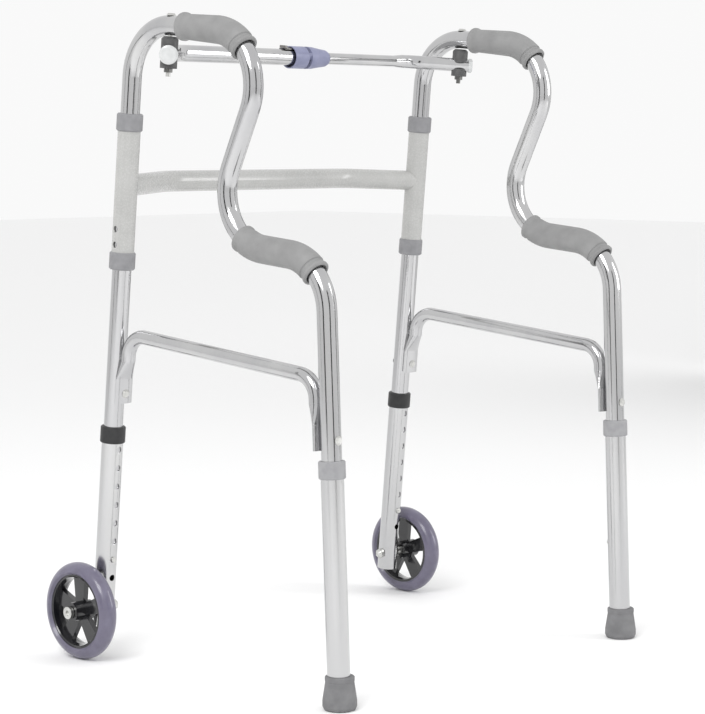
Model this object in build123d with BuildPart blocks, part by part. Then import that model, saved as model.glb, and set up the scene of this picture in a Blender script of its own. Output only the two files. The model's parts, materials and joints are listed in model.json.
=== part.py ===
"""Folding two-level walking frame with front wheels: every rigid piece as its own STEP file.

Millimetres. +X is the user's right, +Y the way the user walks, +Z up, and the floor is z = 0.
Each side frame is flat. Its pieces are laid out in a side plane whose local x (here p) runs
rearward, square to the raked front leg, and whose local y (here q) runs up along that leg.
"""
import os
from math import atan2, cos, pi, radians, sin, tan

from build123d import *

os.makedirs("parts", exist_ok=True)

# ---- layout
LEG_SPACING = 564.0        # between the two front leg axes
FRONT_RAKE = 5.5           # front legs lean back towards the top
REAR_RAKE = 8.0            # rear leg against the front leg
LEG_Y = 204.7              # where the front leg axes meet the floor
REAR_FOOT = (445.4, 42.9)  # rear leg axis at the floor, in (p, q)

# ---- side frame tube
TUBE_R = 12.7
TUBE_WALL = 1.2
BEND_R = 70.0
TOP_Q = 845.5              # hand rail height along the leg
LOWER_Q = 583.0            # lower grip run
S_TOP_P = 257.1            # corner of the top run with the slanted part
S_LOW_P = 161.1            # corner of the slanted part with the lower run
INNER_END = 116.0          # lower end of the fixed tubes, along each leg

# ---- height adjustment
EXT_R = 14.3
EXT_BORE_R = 12.95
EXT_TOP = 311.0
REAR_EXT_TOP = 302.0
EXT_END = 41.5
HOLE_PITCH = 25.0
HOLE_COUNT = 8
BUTTON_HOLE = 6            # counted from the top, starting at 0
BUTTON_Q = 132.8
HOLE_R = 4.25
BUTTON_R = 3.95
COLLAR_R = 16.7
COLLAR_H = 22.0

# ---- front frame
SLEEVE_R = 15.0
SLEEVE_BORE_R = 13.4
SLEEVE_LOW, SLEEVE_HIGH = 531.0, 719.5
BUSH_R = 17.2
BUSH_H = 23.0
BUSH_LOW_Q = 523.0
BUSH_TOP_Q = 704.5
CROSSBAR_Q = 633.0
CROSSBAR_R = 14.3
CROSSBAR_BOW = 44.0
CROSSBAR_BEND_X = 174.0

# ---- wheels
WHEEL_R = 65.0
WHEEL_OFFSET = 39.0        # wheel mid plane from the leg axis
TYRE_W = 27.0
TYRE_SEAT_R = 49.6
RIM_W = 21.0
SPOKES = 5
BUSH_BORE_R = 4.05
AXLE_R = 4.0
AXLE_BUSH_R = 5.5

# ---- telescopic rod
ROD_P = 69.0               # bolts behind the leg axes
ROD_Q = 808.5
ROD_BOW = 50.0
ROD_OUTER_R = 11.1
ROD_INNER_R = 8.0
ROD_END_R = 9.5
ROD_BEND_R = 45.0
ROD_PAST_BOLT = 13.0
ROD_BOLT_R = 3.0
INNER_START_X = -72.0
OUTER_END_X = 16.0
SWAGE_X = (194.0, 212.0)

# ---- brace
BRACE_R = 9.5
BRACE_Q = 440.0
BRACE_BEND_R = 30.0
BRACE_FRONT_P = 22.8
BRACE_RIVET_Q = 360.0
BRACE_REAR_RIVET = 329.0

# ---- rear tip
TIP_R = 21.3
TIP_TOP_R = 18.3
TIP_H = 41.5


def save(builder, name):
    builder.part.label = name
    export_step(builder.part, f"parts/{name}.step")


def side_plane(s):
    """The plane of one side frame. s is -1 for the left side and 1 for the right."""
    r = radians(FRONT_RAKE)
    return Plane(
        origin=(s * LEG_SPACING / 2, LEG_Y, 0),
        x_dir=(0, -cos(r), -sin(r)),
        z_dir=(-1, 0, 0),
    )


def rear_plane(s):
    """Same plane with y up along the rear leg and the origin at that leg's foot."""
    place = side_plane(s).location * Location((*REAR_FOOT, 0), (0, 0, REAR_RAKE))
    return Plane(place)


def level_plane(p, q):
    """Square to the front leg axes: x right, y forward, z up along the legs."""
    r = radians(FRONT_RAKE)
    y = LEG_Y - p * cos(r) - q * sin(r)
    z = -p * sin(r) + q * cos(r)
    return Plane(origin=(0, y, z), x_dir=(1, 0, 0), z_dir=(0, -sin(r), cos(r)))


UP = (-90, 0, 0)           # turns a solid's own axis to local +y
BACK = (0, 90, 0)          # turns a solid's own axis to local +x
LOW = (Align.CENTER, Align.CENTER, Align.MIN)


def rear_point(t):
    """(p, q) of a point t mm up the rear leg axis."""
    a = radians(REAR_RAKE)
    return REAR_FOOT[0] - t * sin(a), REAR_FOOT[1] + t * cos(a)


def rear_leg_p(q):
    return REAR_FOOT[0] - tan(radians(REAR_RAKE)) * (q - REAR_FOOT[1])


SIDE_CORNERS = [
    (0, INNER_END),
    (0, TOP_Q),
    (S_TOP_P, TOP_Q),
    (S_LOW_P, LOWER_Q),
    (rear_leg_p(LOWER_Q), LOWER_Q),
    rear_point(INNER_END),
]

# slant of the S part, and the ends of the bends beside the two grips
SLANT = atan2(LOWER_Q - TOP_Q, S_LOW_P - S_TOP_P)
TOP_BEND_P = S_TOP_P - BEND_R * tan(-SLANT / 2)
LOW_BEND_P = S_LOW_P + BEND_R * tan(-SLANT / 2)
REAR_BEND_P = rear_leg_p(LOWER_Q) - BEND_R * tan(radians(90 - REAR_RAKE) / 2)

# ---- grips: (from, to) in p on the straight, and bend angles covered at each end
GRIP_R = 17.8
GRIP_NECK_R = 16.4
GRIP_LIP_R = 18.2
GRIP_BORE_R = 12.75
LIP_W = 6.0
UPPER_GRIP_START = 93.0
UPPER_GRIP_TURN = 36.0
LOWER_GRIP_FRONT_TURN = 22.0
LOWER_GRIP_REAR_TURN = 33.0


def lip_profile(length, flare):
    """Half outline of a grip end: neck, then a rounded lip. The lip's face is at 0."""
    return make_face(
        Polyline(
            (0, flare),
            (0, GRIP_LIP_R - 1.8),
            (1.6, GRIP_LIP_R),
            (LIP_W - 1.8, GRIP_LIP_R),
            (LIP_W + 1.5, GRIP_NECK_R + 0.3),
            (LIP_W + 5.0, GRIP_NECK_R),
            (length, GRIP_R),
            (length, GRIP_BORE_R),
            (min(8.0, length - 1), GRIP_BORE_R),
            close=True,
        )
    )


def end_piece(place, length, flare):
    """Revolved grip end whose face is at place and whose body runs along its local +x."""
    turned = revolve(lip_profile(length, flare), Axis.X, 360)
    return place * turned


def bend_piece(plane, centre, start, turn):
    """Part of a ring about centre, from the angle start through turn degrees."""
    ring = Rot(0, 0, start) * revolve(
        Pos(BEND_R, 0, 0) * (Plane.XZ * (Circle(GRIP_R) - Circle(GRIP_BORE_R))), Axis.Z, turn
    )
    return plane.location * Pos(*centre, 0) * ring


for s, side in ((-1, "left"), (1, "right")):
    plane = side_plane(s)
    rear = rear_plane(s)

    # the bent frame tube: front leg, hand rail, S curve, lower run and rear leg
    with BuildPart() as side_tube:
        with BuildLine(plane) as run:
            FilletPolyline(*SIDE_CORNERS, radius=BEND_R)
        with BuildSketch(Plane(origin=run.line @ 0, z_dir=run.line % 0)):
            Circle(TUBE_R)
            Circle(TUBE_R - TUBE_WALL, mode=Mode.SUBTRACT)
        sweep(path=run.line)
        with Locations(plane.location * Location((0, BRACE_RIVET_Q, 0), BACK)):
            Cylinder(2.6, 60, mode=Mode.SUBTRACT)
        with Locations(rear.location * Location((0, BRACE_REAR_RIVET, 0), BACK)):
            Cylinder(2.6, 60, mode=Mode.SUBTRACT)
        with Locations(plane.location * Location((ROD_P, TOP_Q, 0), UP)):
            Cylinder(ROD_BOLT_R + 0.05, 60, mode=Mode.SUBTRACT)
        with Locations(plane.location * Location((0, BUTTON_Q, 0), BACK)):
            Cylinder(BUTTON_R + 0.1, 20, align=LOW, mode=Mode.SUBTRACT)
        with Locations(rear.location * Location((0, BUTTON_Q, 0), (0, -90, 0))):
            Cylinder(BUTTON_R + 0.1, 20, align=LOW, mode=Mode.SUBTRACT)
    save(side_tube, f"side_tube_{side}")

    # upper grip: straight part with the front lip, then the bend and the rear lip
    straight = TOP_BEND_P - UPPER_GRIP_START
    centre = (TOP_BEND_P, TOP_Q - BEND_R)
    turn = UPPER_GRIP_TURN
    a = radians(turn)
    rear_end = (centre[0] + BEND_R * sin(a), centre[1] + BEND_R * cos(a))
    reach = 12.0
    tip_place = Location((rear_end[0] + reach * cos(a), rear_end[1] - reach * sin(a), 0), (0, 0, 180 - turn))
    pieces = [
        end_piece(plane.location * Location((UPPER_GRIP_START, TOP_Q, 0)), straight, 13.4),
        bend_piece(plane, centre, 90 - turn, turn),
        end_piece(plane.location * tip_place, reach, 14.6),
    ]
    with BuildPart() as upper_grip:
        add(pieces)
    save(upper_grip, f"upper_grip_{side}")

    # lower grip: a bend at each end
    f, r = radians(LOWER_GRIP_FRONT_TURN), radians(LOWER_GRIP_REAR_TURN)
    front_c = (LOW_BEND_P, LOWER_Q + BEND_R)
    rear_c = (REAR_BEND_P, LOWER_Q - BEND_R)
    front_end = (front_c[0] - BEND_R * sin(f), front_c[1] - BEND_R * cos(f))
    rear_end = (rear_c[0] + BEND_R * sin(r), rear_c[1] + BEND_R * cos(r))
    front_place = Location(
        (front_end[0] - reach * cos(f), front_end[1] + reach * sin(f), 0),
        (0, 0, -LOWER_GRIP_FRONT_TURN),
    )
    rear_place = Location(
        (rear_end[0] + reach * cos(r), rear_end[1] - reach * sin(r), 0),
        (0, 0, 180 - LOWER_GRIP_REAR_TURN),
    )
    pieces = [
        end_piece(plane.location * front_place, reach, 13.9),
        bend_piece(plane, front_c, 270 - LOWER_GRIP_FRONT_TURN, LOWER_GRIP_FRONT_TURN),
        bend_piece(plane, rear_c, 90 - LOWER_GRIP_REAR_TURN, LOWER_GRIP_REAR_TURN),
        end_piece(plane.location * rear_place, reach, 14.6),
    ]
    with BuildPart() as lower_grip:
        with Locations(plane.location * Location((LOW_BEND_P, LOWER_Q, 0), BACK)):
            Cylinder(GRIP_R, REAR_BEND_P - LOW_BEND_P, align=LOW)
            Cylinder(GRIP_BORE_R, REAR_BEND_P - LOW_BEND_P, align=LOW, mode=Mode.SUBTRACT)
        add(pieces)
    save(lower_grip, f"lower_grip_{side}")

    # brace: an arch of smaller tube whose flattened ends cup the two legs
    gap = TUBE_R + BRACE_R + 0.6
    ra = radians(REAR_RAKE)
    front_top = (BRACE_FRONT_P, 404.0)
    rear_t = 372.0
    rp = rear_point(rear_t)
    rear_top = (rp[0] - gap * cos(ra), rp[1] - gap * sin(ra))
    corner_p = rear_top[0] - tan(ra) * (BRACE_Q - rear_top[1])
    with BuildPart() as brace:
        with BuildLine(plane) as arch:
            FilletPolyline(
                front_top,
                (BRACE_FRONT_P, BRACE_Q),
                (corner_p, BRACE_Q),
                rear_top,
                radius=BRACE_BEND_R,
            )
        with BuildSketch(Plane(origin=arch.line @ 0, z_dir=arch.line % 0)):
            Circle(BRACE_R)
        sweep(path=arch.line)
        for place, top, rivet in (
            (plane.location * Location((0, 0, 0)), front_top[1], BRACE_RIVET_Q),
            (rear.location * Location((0, 0, 0), (0, 180, 0)), rear_t, BRACE_REAR_RIVET),
        ):
            level = Plane(place * Location((0, 0, 0), UP))
            with BuildSketch(level.offset(top)):
                with Locations((BRACE_FRONT_P, 0)):
                    Circle(BRACE_R)
            with BuildSketch(level.offset(top - 24)):
                with Locations((BRACE_FRONT_P - 6.0, 0)):
                    Ellipse(4.6, 14.2)
            loft()
            with BuildSketch(level.offset(top - 24)):
                with Locations((BRACE_FRONT_P - 6.0, 0)):
                    Ellipse(4.6, 14.2)
            extrude(amount=-(top - 24 - rivet + 13))
            with Locations(place * Location((0, rivet - 20, 0), UP)):
                Cylinder(TUBE_R + 0.05, 150, align=LOW, mode=Mode.SUBTRACT)
            with Locations(place * Location((0, rivet, 0), BACK)):
                Cylinder(2.6, 40, align=LOW, mode=Mode.SUBTRACT)
    save(brace, f"side_brace_{side}")

    # rivets: one through each leg and the brace end
    with BuildPart() as rivets:
        far = BRACE_FRONT_P - 6.0 + 4.6
        for place, rivet in (
            (plane.location, BRACE_RIVET_Q),
            (rear.location * Location((0, 0, 0), (0, 180, 0)), BRACE_REAR_RIVET),
        ):
            with Locations(place * Location((-TUBE_R - 0.1, rivet, 0), BACK)):
                Cylinder(2.5, TUBE_R + far + 0.2, align=LOW)
            with Locations(place * Location((far + 0.02, rivet, 0), BACK)):
                Cone(6.0, 3.6, 2.4, align=LOW)
            with Locations(place * Location((-TUBE_R - 0.02, rivet, 0), (0, -90, 0))):
                Cone(6.0, 3.6, 2.4, align=LOW)
    save(rivets, f"brace_rivets_{side}")

    # snap buttons and their springs, one pair in each leg
    for leg, place in (
        ("front", plane.location),
        ("rear", rear.location * Location((0, 0, 0), (0, 180, 0))),
    ):
        with BuildPart() as button:
            with Locations(place * Location((8.0, BUTTON_Q, 0), BACK)):
                Cylinder(BUTTON_R, 8.4, align=LOW)
                Cylinder(5.0, 1.0, align=LOW)
            with Locations(place * Location((16.4, BUTTON_Q, 0), BACK)):
                Cone(BUTTON_R, 2.4, 1.3, align=LOW)
        save(button, f"snap_button_{leg}_{side}")
        with BuildPart() as spring:
            with BuildSketch(Plane(place)):
                with BuildLine():
                    FilletPolyline(
                        (7.3, BUTTON_Q - 6),
                        (7.3, BUTTON_Q + 7),
                        (-1.5, BUTTON_Q + 44),
                        (-10.7, BUTTON_Q + 16),
                        (-10.7, BUTTON_Q - 8),
                        radius=3.0,
                    )
                trace(line_width=0.8)
            extrude(amount=3, both=True)
        save(spring, f"snap_spring_{leg}_{side}")

    # height-adjusting tubes with their collars
    for leg, place, hole_dir in (("front", plane.location, BACK), ("rear", rear.location, (0, -90, 0))):
        low = EXT_END if leg == "front" else 6.0
        high = EXT_TOP if leg == "front" else REAR_EXT_TOP
        with BuildPart() as ext:
            with Locations(place * Location((0, low, 0), UP)):
                Cylinder(EXT_R, high - low, align=LOW)
                Cylinder(EXT_BORE_R, high - low, align=LOW, mode=Mode.SUBTRACT)
            for n in range(HOLE_COUNT):
                q = BUTTON_Q + (BUTTON_HOLE - n) * HOLE_PITCH
                with Locations(place * Location((0, q, 0), hole_dir)):
                    Cylinder(HOLE_R, 30, align=LOW, mode=Mode.SUBTRACT)
            if leg == "front":
                axle_q = WHEEL_R / cos(radians(FRONT_RAKE))
                with Locations(place * Location((0, axle_q, 0))):
                    Cylinder(AXLE_R + 0.05, 60, mode=Mode.SUBTRACT)
        save(ext, f"leg_tube_{leg}_{side}")
        top = high + 2.0
        with BuildPart() as collar:
            with Locations(place * Location((0, top - COLLAR_H, 0), UP)):
                Cylinder(COLLAR_R, COLLAR_H, align=LOW)
            rims = collar.edges().filter_by(GeomType.CIRCLE)
            chamfer(rims, 1.2)
            with Locations(place * Location((0, top - COLLAR_H - 1, 0), UP)):
                Cylinder(EXT_R + 0.05, COLLAR_H - 0.9, align=LOW, mode=Mode.SUBTRACT)
                Cylinder(EXT_BORE_R + 0.05, COLLAR_H + 2, align=LOW, mode=Mode.SUBTRACT)
        save(collar, f"leg_collar_{leg}_{side}")

    # rubber tip: tapered body, top rim, rounded foot
    with BuildPart() as tip:
        with BuildSketch(Plane.XZ):
            with BuildLine():
                Polyline(
                    (0, 0),
                    (16.5, 0),
                    (19.6, 1.2),
                    (TIP_R, 5.0),
                    (TIP_R, 12.0),
                    (TIP_TOP_R - 0.5, TIP_H - 6.5),
                    (TIP_TOP_R, TIP_H - 5.5),
                    (TIP_TOP_R, TIP_H - 1.0),
                    (TIP_TOP_R - 1.0, TIP_H),
                    (0, TIP_H),
                    close=True,
                )
            make_face()
        revolve(axis=Axis.Z)
    foot = rear.location.position
    with BuildPart() as rear_tip:
        with Locations(Location((foot.X, foot.Y, 0))):
            add(tip.part)
        with Locations(rear.location * Location((0, 5.9, 0), UP)):
            Cylinder(EXT_R + 0.05, 60, align=LOW, mode=Mode.SUBTRACT)
    save(rear_tip, f"rear_tip_{side}")

    # wheel, built about its own axis, z outboard
    axle_y = LEG_Y - WHEEL_R * tan(radians(FRONT_RAKE))
    hub_plane = Plane(
        origin=(s * (LEG_SPACING / 2 + WHEEL_OFFSET), axle_y, WHEEL_R),
        x_dir=(0, 0, 1),
        z_dir=(s, 0, 0),
    )
    section = Plane(hub_plane.location * Location((0, 0, 0), (90, 0, 0)))
    with BuildPart() as tyre:
        with BuildSketch(section):
            with BuildLine():
                Polyline((TYRE_SEAT_R, -TYRE_W / 2 + 3), (TYRE_SEAT_R, TYRE_W / 2 - 3))
                Line((TYRE_SEAT_R, TYRE_W / 2 - 3), (TYRE_SEAT_R + 3, TYRE_W / 2))
                ThreePointArc(
                    (TYRE_SEAT_R + 3, TYRE_W / 2), (WHEEL_R, 0), (TYRE_SEAT_R + 3, -TYRE_W / 2)
                )
                Line((TYRE_SEAT_R + 3, -TYRE_W / 2), (TYRE_SEAT_R, -TYRE_W / 2 + 3))
            make_face()
        revolve(axis=Axis(hub_plane.origin, hub_plane.z_dir))
    save(tyre, f"tyre_{side}")

    rim = TYRE_SEAT_R - 0.05
    with BuildPart() as hub:
        with BuildSketch(section):
            with BuildLine():
                Polyline(
                    (rim, -RIM_W / 2),
                    (rim, RIM_W / 2),
                    (rim - 2.2, RIM_W / 2 + 0.8),
                    (rim - 3.6, RIM_W / 2 - 0.6),
                    (rim - 5.2, RIM_W / 2 - 8.0),
                    (rim - 5.2, -RIM_W / 2 + 5.0),
                    (rim - 3.6, -RIM_W / 2),
                    close=True,
                )
            make_face()
        revolve(axis=Axis(hub_plane.origin, hub_plane.z_dir))
        with BuildSketch(hub_plane.offset(-5.0)):
            for k in range(SPOKES):
                with BuildLine():
                    a = 2 * pi * k / SPOKES
                    w0, w1, r0, r1 = 7.5, 11.0, 9.0, rim - 4.0
                    pts = [(r0, -w0), (r1, -w1), (r1, w1), (r0, w0)]
                    Polyline(
                        *[(x * cos(a) - y * sin(a), x * sin(a) + y * cos(a)) for x, y in pts],
                        close=True,
                    )
                make_face()
        extrude(amount=8.0)
        with Locations(hub_plane.location * Pos(0, 0, -15.0)):
            Cylinder(13.0, 33.0, align=LOW)
        with Locations(hub_plane.location * Pos(0, 0, -20.0)):
            Cylinder(AXLE_BUSH_R + 0.08, 45.0, align=LOW, mode=Mode.SUBTRACT)
    save(hub, f"wheel_hub_{side}")

    leg_x = -WHEEL_OFFSET  # leg axis in the wheel's own frame
    with BuildPart() as bush:
        with Locations(hub_plane.location * Pos(0, 0, leg_x + EXT_R + 0.1)):
            Cylinder(8.5, 9.2, align=LOW)
            Cylinder(AXLE_BUSH_R, 43.2, align=LOW)
            Cylinder(BUSH_BORE_R, 60, align=LOW, mode=Mode.SUBTRACT)
    save(bush, f"axle_bush_{side}")

    with BuildPart() as axle:
        with Locations(hub_plane.location * Pos(0, 0, leg_x - EXT_R - 6.0)):
            Cylinder(AXLE_R, EXT_R * 2 + 6.0 + 43.6, align=LOW)
        with Locations(hub_plane.location * Pos(0, 0, leg_x + EXT_R + 43.5)):
            Cylinder(8.2, 5.0, align=LOW)
        with Locations(hub_plane.location * Pos(0, 0, leg_x + EXT_R + 46.0)):
            Cylinder(3.4, 5.0, align=LOW, mode=Mode.SUBTRACT)
    save(axle, f"axle_bolt_{side}")

    with BuildPart() as nut:
        with BuildSketch(hub_plane.offset(leg_x - EXT_R - 0.1)):
            RegularPolygon(7.4, 6)
        extrude(amount=-5.5)
        with Locations(hub_plane.location * Location((0, 0, leg_x - EXT_R - 5.5), (180, 0, 0))):
            Cone(6.2, 3.2, 3.4, align=LOW)
        with Locations(hub_plane.location * Pos(0, 0, leg_x - EXT_R - 6.1)):
            Cylinder(AXLE_R + 0.03, 10, align=LOW, mode=Mode.SUBTRACT)
    save(nut, f"axle_nut_{side}")

    # painted sleeve round the front leg, with its two locating holes outboard
    with BuildPart() as sleeve:
        with Locations(plane.location * Location((0, SLEEVE_LOW, 0), UP)):
            Cylinder(SLEEVE_R, SLEEVE_HIGH - SLEEVE_LOW, align=LOW)
            Cylinder(SLEEVE_BORE_R, SLEEVE_HIGH - SLEEVE_LOW, align=LOW, mode=Mode.SUBTRACT)
        for q in (556.0, 576.5):
            with Locations(plane.location * Location((0, q, 0), (0, 0 if s < 0 else 180, 0))):
                Cylinder(4.2, 30, align=LOW, mode=Mode.SUBTRACT)
    save(sleeve, f"sleeve_{side}")

# ---- front frame: bushes and crossbar
with BuildPart() as bushes:
    for s in (-1, 1):
        for q, inner_q in ((BUSH_LOW_Q, SLEEVE_LOW - 0.05), (BUSH_TOP_Q, None)):
            base = side_plane(s).location
            with Locations(base * Location((0, q, 0), UP)):
                Cylinder(BUSH_R, BUSH_H, align=LOW)
            if inner_q is not None:
                lo, hi = inner_q, q + BUSH_H + 1
            else:
                lo, hi = q - 1, SLEEVE_HIGH + 0.05
            with Locations(base * Location((0, lo, 0), UP)):
                Cylinder(SLEEVE_R + 0.05, hi - lo, align=LOW, mode=Mode.SUBTRACT)
            with Locations(base * Location((0, q - 1, 0), UP)):
                Cylinder(TUBE_R + 0.06, BUSH_H + 2, align=LOW, mode=Mode.SUBTRACT)
    outer = bushes.edges().filter_by(GeomType.CIRCLE).filter_by(lambda e: abs(e.radius - BUSH_R) < 0.01)
    chamfer(outer, 1.6)
save(bushes, "sleeve_bushes")

bar_plane = level_plane(0, CROSSBAR_Q)
half = LEG_SPACING / 2
with BuildPart() as crossbar:
    with BuildLine(bar_plane) as bar:
        FilletPolyline(
            (-half, 0),
            (-CROSSBAR_BEND_X, CROSSBAR_BOW),
            (CROSSBAR_BEND_X, CROSSBAR_BOW),
            (half, 0),
            radius=90,
        )
    with BuildSketch(Plane(origin=bar.line @ 0, z_dir=bar.line % 0)):
        Circle(CROSSBAR_R)
        Circle(CROSSBAR_R - 1.4, mode=Mode.SUBTRACT)
    sweep(path=bar.line)
    for s in (-1, 1):
        with Locations(side_plane(s).location * Location((0, CROSSBAR_Q - 60, 0), UP)):
            Cylinder(SLEEVE_R + 0.03, 120, align=LOW, mode=Mode.SUBTRACT)
    # nothing of the bar is left beyond the sleeves
    for s in (-1, 1):
        with Locations(bar_plane.location * Pos(s * (half + 30), 0, 0)):
            Box(60, 80, 80, mode=Mode.SUBTRACT)
save(crossbar, "crossbar")

# ---- telescopic rod in its own level plane, y = ROD_BOW in the middle
rod = level_plane(ROD_P, ROD_Q)
past = ROD_PAST_BOLT / 2 ** 0.5
bend_x = half - ROD_BOW
with BuildPart() as rod_outer:
    with BuildLine(rod) as line:
        FilletPolyline(
            (-half - past, -past), (-bend_x, ROD_BOW), (OUTER_END_X, ROD_BOW), radius=ROD_BEND_R
        )
    with BuildSketch(Plane(origin=line.line @ 0, z_dir=line.line % 0)):
        Circle(ROD_OUTER_R)
        Circle(ROD_OUTER_R - 1.2, mode=Mode.SUBTRACT)
    sweep(path=line.line)
    with Locations(rod.location * Pos(-half, 0, 0)):
        Cylinder(ROD_BOLT_R + 0.06, 40, mode=Mode.SUBTRACT)
save(rod_outer, "rod_outer_tube")

with BuildPart() as rod_inner:
    with BuildLine(rod) as line:
        FilletPolyline(
            (SWAGE_X[1], ROD_BOW), (bend_x, ROD_BOW), (half + past, -past), radius=ROD_BEND_R
        )
    with BuildSketch(Plane(origin=line.line @ 0, z_dir=line.line % 0)):
        Circle(ROD_END_R)
        Circle(ROD_END_R - 1.2, mode=Mode.SUBTRACT)
    sweep(path=line.line)
    with BuildSketch(rod):
        with BuildLine():
            Polyline(
                (INNER_START_X, ROD_BOW + ROD_INNER_R - 1.2),
                (INNER_START_X, ROD_BOW + ROD_INNER_R),
                (SWAGE_X[0], ROD_BOW + ROD_INNER_R),
                (SWAGE_X[1], ROD_BOW + ROD_END_R),
                (SWAGE_X[1], ROD_BOW + ROD_END_R - 1.2),
                (SWAGE_X[0], ROD_BOW + ROD_INNER_R - 1.2),
                close=True,
            )
        make_face()
    start = rod.location * Pos(0, ROD_BOW, 0)
    revolve(axis=Axis(start.position, rod.x_dir))
    with Locations(rod.location * Pos(half, 0, 0)):
        Cylinder(ROD_BOLT_R + 0.05, 40, mode=Mode.SUBTRACT)
save(rod_inner, "rod_inner_tube")

for s, side, r_tube, r_cap, thick in (
    (-1, "left", ROD_OUTER_R, 12.2, 4.6),
    (1, "right", ROD_END_R, 10.2, 5.4),
):
    turn = 45 if s < 0 else -45
    end = rod.location * Location((s * (half + past), -past, 0), (0, 0, turn))
    # z of this place points out of the tube's end
    mouth = end * Location((0, 0, 0), (0, 90 * s, 0))
    with BuildPart() as cap:
        with Locations(mouth * Pos(0, 0, 0.05)):
            Cylinder(r_cap, thick - 1.4, align=LOW)
        with Locations(mouth * Pos(0, 0, thick - 1.35)):
            Cone(r_cap, r_cap - 2.6, 1.4, align=LOW)
        with Locations(mouth * Pos(0, 0, -6)):
            Cylinder(r_tube - 1.25, 6.1, align=LOW)
    save(cap, f"rod_cap_{side}")

    axis_place = rod.location * Pos(s * half, 0, 0)
    under_rail = TOP_Q - TUBE_R - ROD_Q
    with BuildPart() as spacer:
        with Locations(axis_place * Pos(0, 0, 4.0)):
            Cylinder(11.0, under_rail - 4.0 - 4.5, align=LOW)
        with Locations(axis_place * Pos(0, 0, under_rail - 4.51)):
            Cone(11.0, 8.0, 3.0, align=LOW)
        with Locations(axis_place * Pos(0, 0, 4.0)):
            Cylinder(ROD_BOLT_R + 0.06, 60, mode=Mode.SUBTRACT)
        with Locations(axis_place * Location((0, 0, 0), (0, 0, turn)) * Location((0, 0, 0), BACK)):
            Cylinder(r_tube + 0.05, 60, mode=Mode.SUBTRACT)
    save(spacer, f"rod_spacer_{side}")

    low_z = -(r_tube + 6.4)
    with BuildPart() as washer:
        with Locations(axis_place * Pos(0, 0, low_z)):
            Cylinder(11.0, -low_z - 5.0, align=LOW)
            Cylinder(ROD_BOLT_R + 0.06, 60, mode=Mode.SUBTRACT)
        with Locations(axis_place * Location((0, 0, 0), (0, 0, turn)) * Location((0, 0, 0), BACK)):
            Cylinder(r_tube + 0.05, 60, mode=Mode.SUBTRACT)
    save(washer, f"rod_washer_{side}")

    rail_top = TOP_Q + TUBE_R - ROD_Q
    end_z = low_z - 10.5
    nut_top = low_z - 0.4
    with BuildPart() as bolt:
        with Locations(axis_place * Pos(0, 0, rail_top + 0.02)):
            Cone(6.2, 4.0, 2.6, align=LOW)
        # the left bolt runs right through; the right one stops at the rail's underside
        shank_low = end_z if s < 0 else under_rail
        with Locations(axis_place * Pos(0, 0, shank_low)):
            Cylinder(ROD_BOLT_R, rail_top + 0.5 - shank_low, align=LOW)
    save(bolt, f"rod_bolt_{side}")

    with BuildPart() as nut:
        with BuildSketch(Plane(axis_place * Pos(0, 0, nut_top))):
            RegularPolygon(5.8, 6)
        extrude(amount=-4.8)
        if s < 0:
            with Locations(axis_place):
                Cylinder(ROD_BOLT_R + 0.03, 90, mode=Mode.SUBTRACT)
        else:
            with Locations(axis_place * Pos(0, 0, end_z)):
                Cylinder(ROD_BOLT_R, under_rail - 1.6 - end_z, align=LOW)
    save(nut, f"rod_nut_{side}")

# ---- lock on the end of the outer tube: ring, slot and tapered nose
lock_axis = rod.location * Pos(0, ROD_BOW, 0)
RING_X = (-17.0, 8.0)
NOSE_X = (14.0, 54.0)
NOSE_STEPS = ((14, 24, 15.3, 15.1), (24, 40, 15.1, 12.8), (40, 50, 12.8, 11.6), (50, 54, 11.6, 9.8))
with BuildPart() as lock:
    with Locations(lock_axis * Location((RING_X[0], 0, 0), BACK)):
        Cylinder(15.3, RING_X[1] - RING_X[0], align=LOW)
        Cylinder(14.0, RING_X[1] - RING_X[0], align=LOW, mode=Mode.SUBTRACT)
    for x0, x1, r0, r1 in NOSE_STEPS:
        with Locations(lock_axis * Location((x0, 0, 0), BACK)):
            Cone(r0, r1, x1 - x0, align=LOW)
    # the lower half carries the ring over the slot
    with Locations(lock_axis * Location((RING_X[0] + 6, 0, 0), BACK)):
        Cylinder(14.5, NOSE_X[0] - RING_X[0] - 5, arc_size=180, rotation=(0, 0, -90), align=LOW)
    with Locations(lock_axis * Location((RING_X[0] - 1, 0, 0), BACK)):
        Cylinder(ROD_OUTER_R + 0.05, OUTER_END_X - RING_X[0] + 1.1, align=LOW, mode=Mode.SUBTRACT)
        Cylinder(ROD_INNER_R + 0.3, 90, align=LOW, mode=Mode.SUBTRACT)
save(lock, "rod_lock")

# spring clip: a curved leaf over the tube, with a thumb tab in front of the ring
with BuildPart() as clip:
    with BuildSketch(Plane(lock_axis * Location((-31.0, 0, 0), BACK))):
        Circle(13.3)
        Circle(12.5, mode=Mode.SUBTRACT)
        with Locations((-12.9, 0)):
            Rectangle(6.0, 13.0, mode=Mode.INTERSECT)
    extrude(amount=43.5)
    with Locations(lock_axis * Pos(-29.0, 0, 14.3)):
        Box(4.0, 11.0, 3.2)
save(clip, "rod_clip")
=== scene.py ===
"""Walking frame: materials, floor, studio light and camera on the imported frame."""

import json
from math import cos, radians, sin

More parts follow.
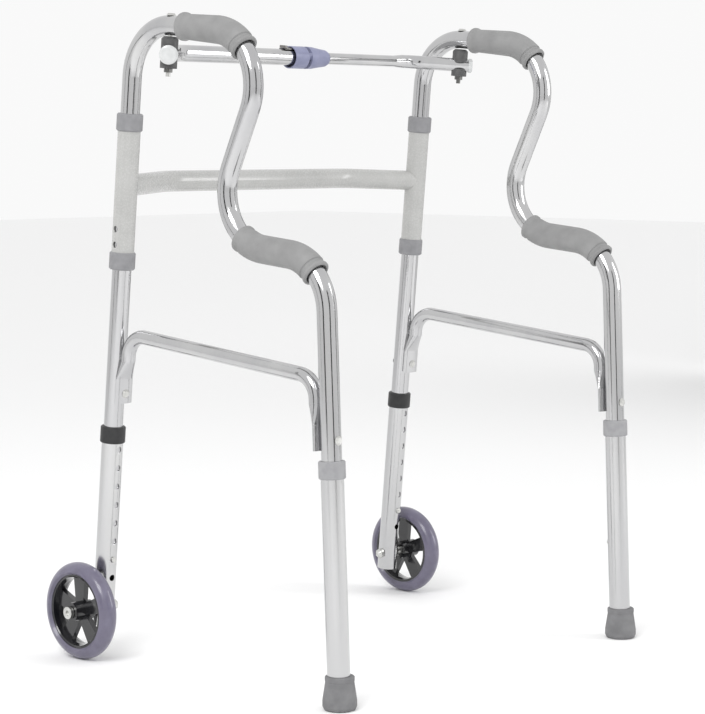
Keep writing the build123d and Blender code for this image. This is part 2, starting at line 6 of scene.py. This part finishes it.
import bmesh
import bpy
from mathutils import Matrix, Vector

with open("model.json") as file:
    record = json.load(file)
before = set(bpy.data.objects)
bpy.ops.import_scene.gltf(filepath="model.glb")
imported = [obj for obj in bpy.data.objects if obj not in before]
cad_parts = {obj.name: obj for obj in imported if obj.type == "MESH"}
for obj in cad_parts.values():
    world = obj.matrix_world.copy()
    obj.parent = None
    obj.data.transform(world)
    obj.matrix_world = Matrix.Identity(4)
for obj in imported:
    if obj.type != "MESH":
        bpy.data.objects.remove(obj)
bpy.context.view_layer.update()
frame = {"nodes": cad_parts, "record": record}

# ---------------------------------------------------------------- materials
def nodes_of(name):
    mat = bpy.data.materials.new(name)
    mat.use_nodes = True
    tree = mat.node_tree
    bsdf = tree.nodes["Principled BSDF"]
    return mat, tree, bsdf


def add(tree, kind, **props):
    node = tree.nodes.new(kind)
    for key, value in props.items():
        setattr(node, key, value)
    return node


def noise(tree, scale, detail=4.0, stretch=(1, 1, 1)):
    """Object-space noise, stretched along one way if asked."""
    coord = add(tree, "ShaderNodeTexCoord")
    place = add(tree, "ShaderNodeMapping")
    place.inputs["Scale"].default_value = stretch
    tex = add(tree, "ShaderNodeTexNoise")
    tex.inputs["Scale"].default_value = scale
    tex.inputs["Detail"].default_value = detail
    tree.links.new(coord.outputs["Object"], place.inputs["Vector"])
    tree.links.new(place.outputs["Vector"], tex.inputs["Vector"])
    return tex.outputs["Fac"]


def ramp(tree, source, low, high, at=(0.3, 0.7)):
    node = add(tree, "ShaderNodeValToRGB")
    node.color_ramp.elements[0].position = at[0]
    node.color_ramp.elements[1].position = at[1]
    node.color_ramp.elements[0].color = (*low, 1)
    node.color_ramp.elements[1].color = (*high, 1)
    tree.links.new(source, node.inputs["Fac"])
    return node.outputs["Color"]


def span(tree, source, low, high):
    node = add(tree, "ShaderNodeMapRange")
    node.inputs["To Min"].default_value = low
    node.inputs["To Max"].default_value = high
    tree.links.new(source, node.inputs["Value"])
    return node.outputs["Result"]


def bump(tree, bsdf, height, strength, distance):
    node = add(tree, "ShaderNodeBump")
    node.inputs["Strength"].default_value = strength
    node.inputs["Distance"].default_value = distance
    tree.links.new(height, node.inputs["Height"])
    tree.links.new(node.outputs["Normal"], bsdf.inputs["Normal"])


PLAIN = (1, 1, 1)
DRAWN = (1, 1, 0.06)      # noise stretched along the height, like drawn tube


def finish_of(name, low, high, rough, metal=0.0, scale=60.0, grain=900.0, depth=0.15,
              lift=0.00005, coat=0.0, stretch=PLAIN):
    """A surface with slow colour drift, fine grain in roughness and a little relief."""
    mat, tree, bsdf = nodes_of(name)
    slow = noise(tree, scale, 3.0, stretch)
    fine = noise(tree, grain, 5.0, stretch)
    tree.links.new(ramp(tree, slow, low, high), bsdf.inputs["Base Color"])
    tree.links.new(span(tree, fine, *rough), bsdf.inputs["Roughness"])
    bsdf.inputs["Metallic"].default_value = metal
    bsdf.inputs["Coat Weight"].default_value = coat
    bsdf.inputs["Coat Roughness"].default_value = 0.08
    bump(tree, bsdf, fine, depth, lift)
    return mat


# Each material slot: darkest and lightest colour, range of roughness, then what isn't usual.
# scale and grain are the noise scales of the colour drift and of the fine grain; depth and
# lift are the strength and the height in metres of the relief.
FINISHES = {
    "polished_aluminium": dict(
        low=(0.5, 0.5, 0.51),
        high=(0.58, 0.58, 0.58),
        rough=(0.07, 0.16),
        metal=1.0,
        scale=25,
        grain=700,
        depth=0.04,
        lift=0.00002,
        stretch=DRAWN,
    ),
    "satin_aluminium": dict(
        low=(0.5, 0.5, 0.51),
        high=(0.6, 0.6, 0.6),
        rough=(0.14, 0.26),
        metal=1.0,
        scale=30,
        grain=800,
        depth=0.06,
        lift=0.00002,
        stretch=DRAWN,
    ),
    "grip_grey": dict(
        low=(0.22, 0.22, 0.22),
        high=(0.27, 0.27, 0.27),
        rough=(0.55, 0.72),
        metal=0,
        scale=45,
        grain=1300,
        depth=0.35,
        lift=0.00012,
    ),
    "zinc": dict(
        low=(0.52, 0.52, 0.5),
        high=(0.68, 0.68, 0.66),
        rough=(0.22, 0.38),
        metal=1.0,
        scale=120,
        grain=1500,
    ),
    "spring_steel": dict(
        low=(0.16, 0.155, 0.15),
        high=(0.26, 0.25, 0.24),
        rough=(0.25, 0.4),
        metal=1.0,
        scale=150,
        grain=1500,
    ),
    "dark_plastic": dict(
        low=(0.06, 0.06, 0.062),
        high=(0.1, 0.1, 0.1),
        rough=(0.38, 0.55),
        metal=0,
        scale=120,
        grain=1500,
        depth=0.2,
    ),
    "dark_steel": dict(
        low=(0.12, 0.12, 0.12),
        high=(0.22, 0.22, 0.21),
        rough=(0.3, 0.45),
        metal=1.0,
        scale=150,
        grain=1500,
    ),
    "cap_white": dict(
        low=(0.55, 0.56, 0.56),
        high=(0.63, 0.64, 0.64),
        rough=(0.25, 0.4),
        metal=0,
        scale=120,
        grain=1200,
        depth=0.1,
        coat=0.3,
    ),
    "collar_black": dict(
        low=(0.01, 0.01, 0.011),
        high=(0.022, 0.022, 0.023),
        rough=(0.4, 0.55),
        metal=0,
        scale=90,
        grain=1500,
        depth=0.25,
    ),
    "collar_light": dict(
        low=(0.27, 0.27, 0.28),
        high=(0.33, 0.33, 0.34),
        rough=(0.45, 0.6),
        metal=0,
        scale=90,
        grain=1500,
        depth=0.2,
    ),
    "tip_rubber": dict(
        low=(0.15, 0.15, 0.155),
        high=(0.2, 0.2, 0.205),
        rough=(0.6, 0.8),
        metal=0,
        scale=70,
        grain=1100,
        depth=0.4,
        lift=0.0001,
    ),
    "tyre": dict(
        low=(0.115, 0.105, 0.155),
        high=(0.15, 0.14, 0.2),
        rough=(0.22, 0.36),
        metal=0,
        scale=60,
        grain=1200,
        depth=0.15,
        coat=0.35,
    ),
    "hub_black": dict(
        low=(0.006, 0.006, 0.008),
        high=(0.014, 0.014, 0.016),
        rough=(0.12, 0.24),
        metal=0,
        scale=60,
        grain=1200,
        depth=0.1,
        coat=0.5,
    ),
    "painted_grey": dict(
        low=(0.4, 0.4, 0.39),
        high=(0.44, 0.44, 0.43),
        rough=(0.22, 0.32),
        metal=0,
        scale=40,
        grain=500,
        depth=0.03,
        lift=0.00003,
        coat=0.4,
    ),
    "bush_grey": dict(
        low=(0.21, 0.21, 0.22),
        high=(0.26, 0.26, 0.27),
        rough=(0.45, 0.6),
        metal=0,
        scale=90,
        grain=1500,
        depth=0.25,
    ),
    "lock_plastic": dict(
        low=(0.19, 0.2, 0.31),
        high=(0.24, 0.25, 0.37),
        rough=(0.38, 0.52),
        metal=0,
        scale=80,
        grain=1500,
        depth=0.2,
    ),
}

MATERIALS = {name: finish_of(name, **finish) for name, finish in FINISHES.items()}

slot_of = {p["node"]: p["material_slot"] for p in frame["record"]["subparts"]}
for node, obj in frame["nodes"].items():
    for mesh_slot in obj.material_slots:
        mesh_slot.material = MATERIALS[slot_of[node]]

# ---------------------------------------------------------------- stage
FLOOR_COLOUR = (0.93, 0.93, 0.93, 1)
FLOOR_HALF = 14.0
SKY_STRENGTH = 0.95
BOARD_COLOUR = (0.012, 0.012, 0.012, 1)
BOARD_FOOT = -1.15        # board's edges, from its own middle
BOARD_HEAD = 1.3
# where each board stands, how far it is turned, and its width
BOARDS = (
    ((-3.3, -0.4, 1.2), radians(80), 0.75),
    ((-1.0, -3.4, 1.2), radians(10), 0.75),
    ((2.6, -2.0, 1.2), radians(-50), 0.9),
    ((3.4, 1.2, 1.2), radians(-100), 0.8),
    ((-3.0, 2.2, 1.2), radians(125), 0.7),
)
LIGHT_TARGET = (0, 0, 0.4)

mat, tree, bsdf = nodes_of("floor_paper")
bsdf.inputs["Base Color"].default_value = FLOOR_COLOUR
bsdf.inputs["Roughness"].default_value = 0.9
floor_mesh = bpy.data.meshes.new("floor")
bm = bmesh.new()
bmesh.ops.create_grid(bm, x_segments=4, y_segments=4, size=FLOOR_HALF)
bm.to_mesh(floor_mesh)
bm.free()
floor = bpy.data.objects.new("floor", floor_mesh)
floor.data.materials.append(mat)
bpy.context.scene.collection.objects.link(floor)

world = bpy.data.worlds.new("studio")
world.use_nodes = True
world.node_tree.nodes["Background"].inputs["Color"].default_value = (1, 1, 1, 1)
world.node_tree.nodes["Background"].inputs["Strength"].default_value = SKY_STRENGTH
bpy.context.scene.world = world


def soft_light(name, place, target, size, power):
    data = bpy.data.lights.new(name, "AREA")
    data.shape = "RECTANGLE"
    data.size, data.size_y = size
    data.energy = power
    obj = bpy.data.objects.new(name, data)
    obj.location = place
    obj.rotation_euler = (Vector(target) - Vector(place)).to_track_quat("-Z", "Y").to_euler()
    bpy.context.scene.collection.objects.link(obj)


# dark boards out of shot, so that the polished tubes carry streaks
mat, tree, bsdf = nodes_of("board")
bsdf.inputs["Base Color"].default_value = BOARD_COLOUR
bsdf.inputs["Roughness"].default_value = 0.9
for number, (place, turn, width) in enumerate(BOARDS):
    mesh = bpy.data.meshes.new(f"board_{number}")
    half = width / 2
    corners = [
        (-half, 0, BOARD_FOOT),
        (half, 0, BOARD_FOOT),
        (half, 0, BOARD_HEAD),
        (-half, 0, BOARD_HEAD),
    ]
    mesh.from_pydata(corners, [], [(0, 1, 2, 3)])
    board = bpy.data.objects.new(f"board_{number}", mesh)
    board.location = place
    board.rotation_euler = (0, 0, turn)
    board.data.materials.append(mat)
    bpy.context.scene.collection.objects.link(board)

bpy.context.scene.view_settings.view_transform = "Standard"
soft_light("key", (-2.6, -1.0, 2.6), LIGHT_TARGET, (1.6, 1.6), 60)
soft_light("fill", (2.2, -2.6, 1.6), LIGHT_TARGET, (0.8, 2.2), 30)

# ---------------------------------------------------------------- camera
CAMERA_AZIMUTH = -46.4
CAMERA_ELEVATION = 5.38
CAMERA_PLACE = (-2.2489, -2.1372, 0.6877)
LENS_MM = 76.9

data = bpy.data.cameras.new("camera")
camera = bpy.data.objects.new("camera", data)
bpy.context.scene.collection.objects.link(camera)
bpy.context.scene.camera = camera
az, el = radians(CAMERA_AZIMUTH), radians(CAMERA_ELEVATION)
ahead = Vector((-sin(az) * cos(el), cos(az) * cos(el), -sin(el)))
camera.location = CAMERA_PLACE
camera.rotation_euler = ahead.to_track_quat("-Z", "Y").to_euler()
data.sensor_fit = "VERTICAL"
data.sensor_height = 24.0
data.lens = LENS_MM
data.clip_end = 60
